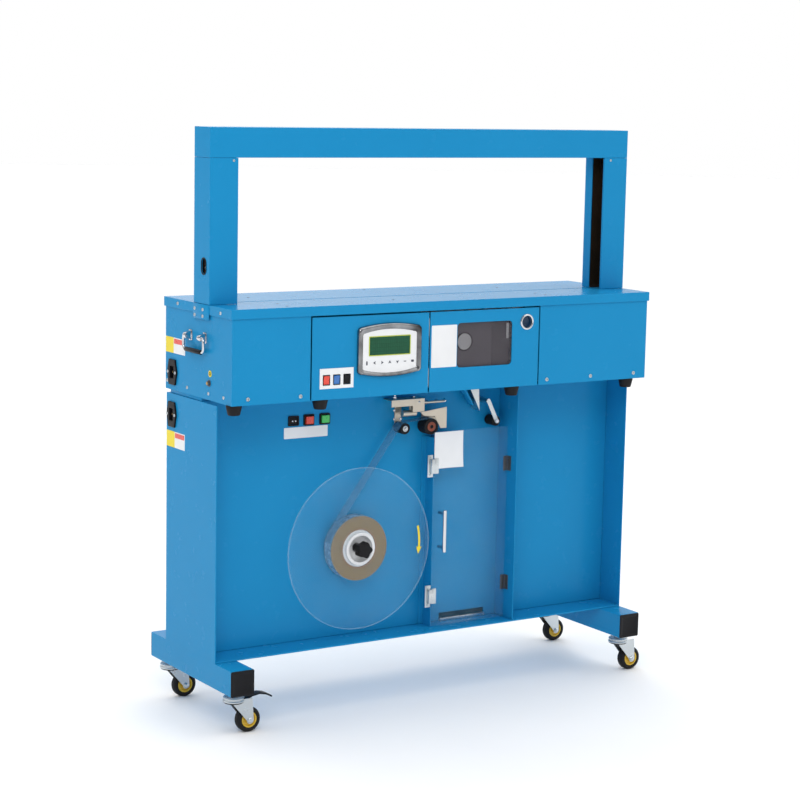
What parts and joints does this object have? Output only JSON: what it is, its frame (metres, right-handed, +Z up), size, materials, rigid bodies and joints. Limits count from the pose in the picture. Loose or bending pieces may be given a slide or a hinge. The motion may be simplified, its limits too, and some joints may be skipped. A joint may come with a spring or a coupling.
{
  "type": "semi automatic strapping machine",
  "caption": "Strapping machine: a caster stand with a film reel and tape pool carries a drive housing with a table and a rectangular arch that bands goods with film tape.",
  "frame": {"origin": "on the floor, under the middle of the table's length and midway along the foot tubes", "axes": "+X to the operator's right along the table, +Y away from the operator, +Z up"},
  "size_m": [1.0275, 0.347, 1.153],
  "materials": {
    "blue_paint": "gloss powder coat",
    "black_plastic": "satin moulded",
    "black_rubber": "matt",
    "wheel_tyre": "matt",
    "chrome": "polished",
    "zinc_steel": "zinc plated",
    "grey_casting": "machined casting",
    "aluminium": "machined",
    "white_plastic": "moulded",
    "clear_acrylic": "clear sheet",
    "smoked_acrylic": "smoked sheet",
    "wound_film": "wound film",
    "red_plastic": "moulded",
    "green_plastic": "moulded",
    "blue_plastic": "moulded"
  },
  "bodies": {
    "machine": {"arch_beam": "blue_paint", "arch_left_column": "blue_paint", "arch_right_column": "blue_paint", "base_plate": "blue_paint", "controller": "chrome", "controller_panel": "blue_paint", "feed_frame": "aluminium", "feed_motor": "grey_casting", "foot_tube_left": "blue_paint", "foot_tube_right": "blue_paint", "guide_bracket": "zinc_steel", "guide_plate": "zinc_steel", "housing_inlet": "black_plastic", "left_cover": "blue_paint", "pool_left_wall": "blue_paint", "pool_right_wall": "blue_paint", "rear_cover": "blue_paint", "reel_axle": "chrome", "right_cover": "blue_paint", "sealing_head": "grey_casting", "stand_back_wall": "blue_paint", "stand_inlet": "black_plastic", "stand_left_panel": "blue_paint", "stand_rear_cover": "blue_paint", "stand_right_panel": "blue_paint", "stand_tray": "blue_paint", "table_front": "blue_paint", "table_rear": "blue_paint", "tape_chute": "zinc_steel"},
    "reel": {"reel_hub": "white_plastic", "film_roll": "wound_film", "reel_disc": "clear_acrylic"},
    "reel_knob": {"star_knob": "black_plastic"},
    "pool_door": {"pool_door": "clear_acrylic", "pool_door_handle": "chrome"},
    "window_door": {"window_door": "blue_paint", "window_pane": "smoked_acrylic"},
    "guide_roller": {"guide_roller": "black_rubber"},
    "pinch_roller": {"pinch_roller": "black_rubber"},
    "dancer_arm": {"dancer_arm": "zinc_steel"},
    "dancer_roller": {"dancer_roller": "black_rubber"},
    "left_handle": {"left_handle": "chrome"},
    "right_handle": {"right_handle": "chrome"},
    "rocker_red": {"rocker_red": "red_plastic"},
    "rocker_blue": {"rocker_blue": "blue_plastic"},
    "rocker_black": {"rocker_black": "black_plastic"},
    "stand_rocker": {"stand_rocker": "black_plastic"},
    "stop_button": {"stop_button": "red_plastic"},
    "start_button": {"start_button": "green_plastic"},
    "feed_pulley": {"feed_pulley": "zinc_steel"},
    "swivel_front_left": {"caster_fork_front_left": "zinc_steel"},
    "wheel_front_left": {"caster_wheel_front_left": "wheel_tyre"},
    "pedal_front_left": {"brake_pedal_front_left": "black_plastic"},
    "swivel_front_right": {"caster_fork_front_right": "zinc_steel"},
    "wheel_front_right": {"caster_wheel_front_right": "wheel_tyre"},
    "swivel_rear_left": {"caster_fork_rear_left": "zinc_steel"},
    "wheel_rear_left": {"caster_wheel_rear_left": "wheel_tyre"},
    "pedal_rear_left": {"brake_pedal_rear_left": "black_plastic"},
    "swivel_rear_right": {"caster_fork_rear_right": "zinc_steel"},
    "wheel_rear_right": {"caster_wheel_rear_right": "wheel_tyre"}
  },
  "joints": [
    {"name": "swivel_front_left", "type": "hinge", "parent": "machine", "child": "swivel_front_left", "pos_m": [-0.4665, -0.1365, 0.0817], "axis": [0, 0, 1], "continuous": true},
    {"name": "roll_front_left", "type": "hinge", "parent": "swivel_front_left", "child": "wheel_front_left", "pos_m": [-0.4365, -0.1365, 0.025], "axis": [0, 1, 0], "continuous": true},
    {"name": "brake_pedal_front_left", "type": "hinge", "parent": "swivel_front_left", "child": "pedal_front_left", "pos_m": [-0.445, -0.1365, 0.0655], "axis": [0, -1, 0], "range_deg": [0, 14]},
    {"name": "swivel_front_right", "type": "hinge", "parent": "machine", "child": "swivel_front_right", "pos_m": [0.4665, -0.1365, 0.0817], "axis": [0, 0, 1], "continuous": true},
    {"name": "roll_front_right", "type": "hinge", "parent": "swivel_front_right", "child": "wheel_front_right", "pos_m": [0.4965, -0.1365, 0.025], "axis": [0, 1, 0], "continuous": true},
    {"name": "swivel_rear_left", "type": "hinge", "parent": "machine", "child": "swivel_rear_left", "pos_m": [-0.4665, 0.1365, 0.0817], "axis": [0, 0, 1], "continuous": true},
    {"name": "roll_rear_left", "type": "hinge", "parent": "swivel_rear_left", "child": "wheel_rear_left", "pos_m": [-0.4365, 0.1365, 0.025], "axis": [0, 1, 0], "continuous": true},
    {"name": "brake_pedal_rear_left", "type": "hinge", "parent": "swivel_rear_left", "child": "pedal_rear_left", "pos_m": [-0.445, 0.1365, 0.0655], "axis": [0, -1, 0], "range_deg": [0, 14]},
    {"name": "swivel_rear_right", "type": "hinge", "parent": "machine", "child": "swivel_rear_right", "pos_m": [0.4665, 0.1365, 0.0817], "axis": [0, 0, 1], "continuous": true},
    {"name": "roll_rear_right", "type": "hinge", "parent": "swivel_rear_right", "child": "wheel_rear_right", "pos_m": [0.4965, 0.1365, 0.025], "axis": [0, 1, 0], "continuous": true},
    {"name": "reel_spin", "type": "hinge", "parent": "machine", "child": "reel", "pos_m": [-0.15, -0.0425, 0.3175], "axis": [0, 1, 0], "continuous": true},
    {"name": "reel_knob_turn", "type": "hinge", "parent": "machine", "child": "reel_knob", "pos_m": [-0.15, -0.0785, 0.3175], "axis": [0, 1, 0], "continuous": true},
    {"name": "pool_door_hinge", "type": "hinge", "parent": "machine", "child": "pool_door", "pos_m": [0.2055, -0.0763, 0.312], "axis": [0, 0, 1], "range_deg": [0, 90]},
    {"name": "window_door_hinge", "type": "hinge", "parent": "machine", "child": "window_door", "pos_m": [-0.052, -0.1645, 0.712], "axis": [0, 0, -1], "range_deg": [0, 110]},
    {"name": "guide_roller_spin", "type": "hinge", "parent": "machine", "child": "guide_roller", "pos_m": [-0.0455, -0.0565, 0.553], "axis": [0, 1, 0], "continuous": true},
    {"name": "pinch_roller_spin", "type": "hinge", "parent": "machine", "child": "pinch_roller", "pos_m": [0.0175, -0.0565, 0.5532], "axis": [0, 1, 0], "continuous": true},
    {"name": "dancer_arm_swing", "type": "hinge", "parent": "machine", "child": "dancer_arm", "pos_m": [0.156, -0.0715, 0.5973], "axis": [0, -1, 0], "range_deg": [0, 20], "stiffness_Nm_per_rad": 0.05, "springref_deg": -11.46},
    {"name": "dancer_roller_spin", "type": "hinge", "parent": "dancer_arm", "child": "dancer_roller", "pos_m": [0.1775, -0.0565, 0.5542], "axis": [0, 1, 0], "continuous": true},
    {"name": "left_handle_swing", "type": "hinge", "parent": "machine", "child": "left_handle", "pos_m": [-0.5005, -0.026, 0.756], "axis": [0, 1, 0], "range_deg": [0, 85]},
    {"name": "right_handle_swing", "type": "hinge", "parent": "machine", "child": "right_handle", "pos_m": [0.5005, -0.026, 0.756], "axis": [0, -1, 0], "range_deg": [0, 85]},
    {"name": "feed_pulley_spin", "type": "hinge", "parent": "machine", "child": "feed_pulley", "pos_m": [0.06, -0.1246, 0.7325], "axis": [0, 1, 0], "continuous": true},
    {"name": "rocker_red_tilt", "type": "hinge", "parent": "machine", "child": "rocker_red", "pos_m": [-0.2876, -0.1635, 0.6773], "axis": [-1, 0, 0], "range_deg": [0, 16]},
    {"name": "rocker_blue_tilt", "type": "hinge", "parent": "machine", "child": "rocker_blue", "pos_m": [-0.2648, -0.1635, 0.6773], "axis": [-1, 0, 0], "range_deg": [0, 16]},
    {"name": "rocker_black_tilt", "type": "hinge", "parent": "machine", "child": "rocker_black", "pos_m": [-0.242, -0.1635, 0.6773], "axis": [-1, 0, 0], "range_deg": [0, 16]},
    {"name": "stand_rocker_tilt", "type": "hinge", "parent": "machine", "child": "stand_rocker", "pos_m": [-0.2877, -0.039, 0.581], "axis": [0, 0, 1], "range_deg": [0, 16]},
    {"name": "stop_button_press", "type": "slide", "parent": "machine", "child": "stop_button", "axis": [0, 1, 0], "range_m": [0, 0.004], "stiffness_N_per_m": 250, "springref_m": -0.002},
    {"name": "start_button_press", "type": "slide", "parent": "machine", "child": "start_button", "axis": [0, 1, 0], "range_m": [0, 0.004], "stiffness_N_per_m": 250, "springref_m": -0.002}
  ]
}
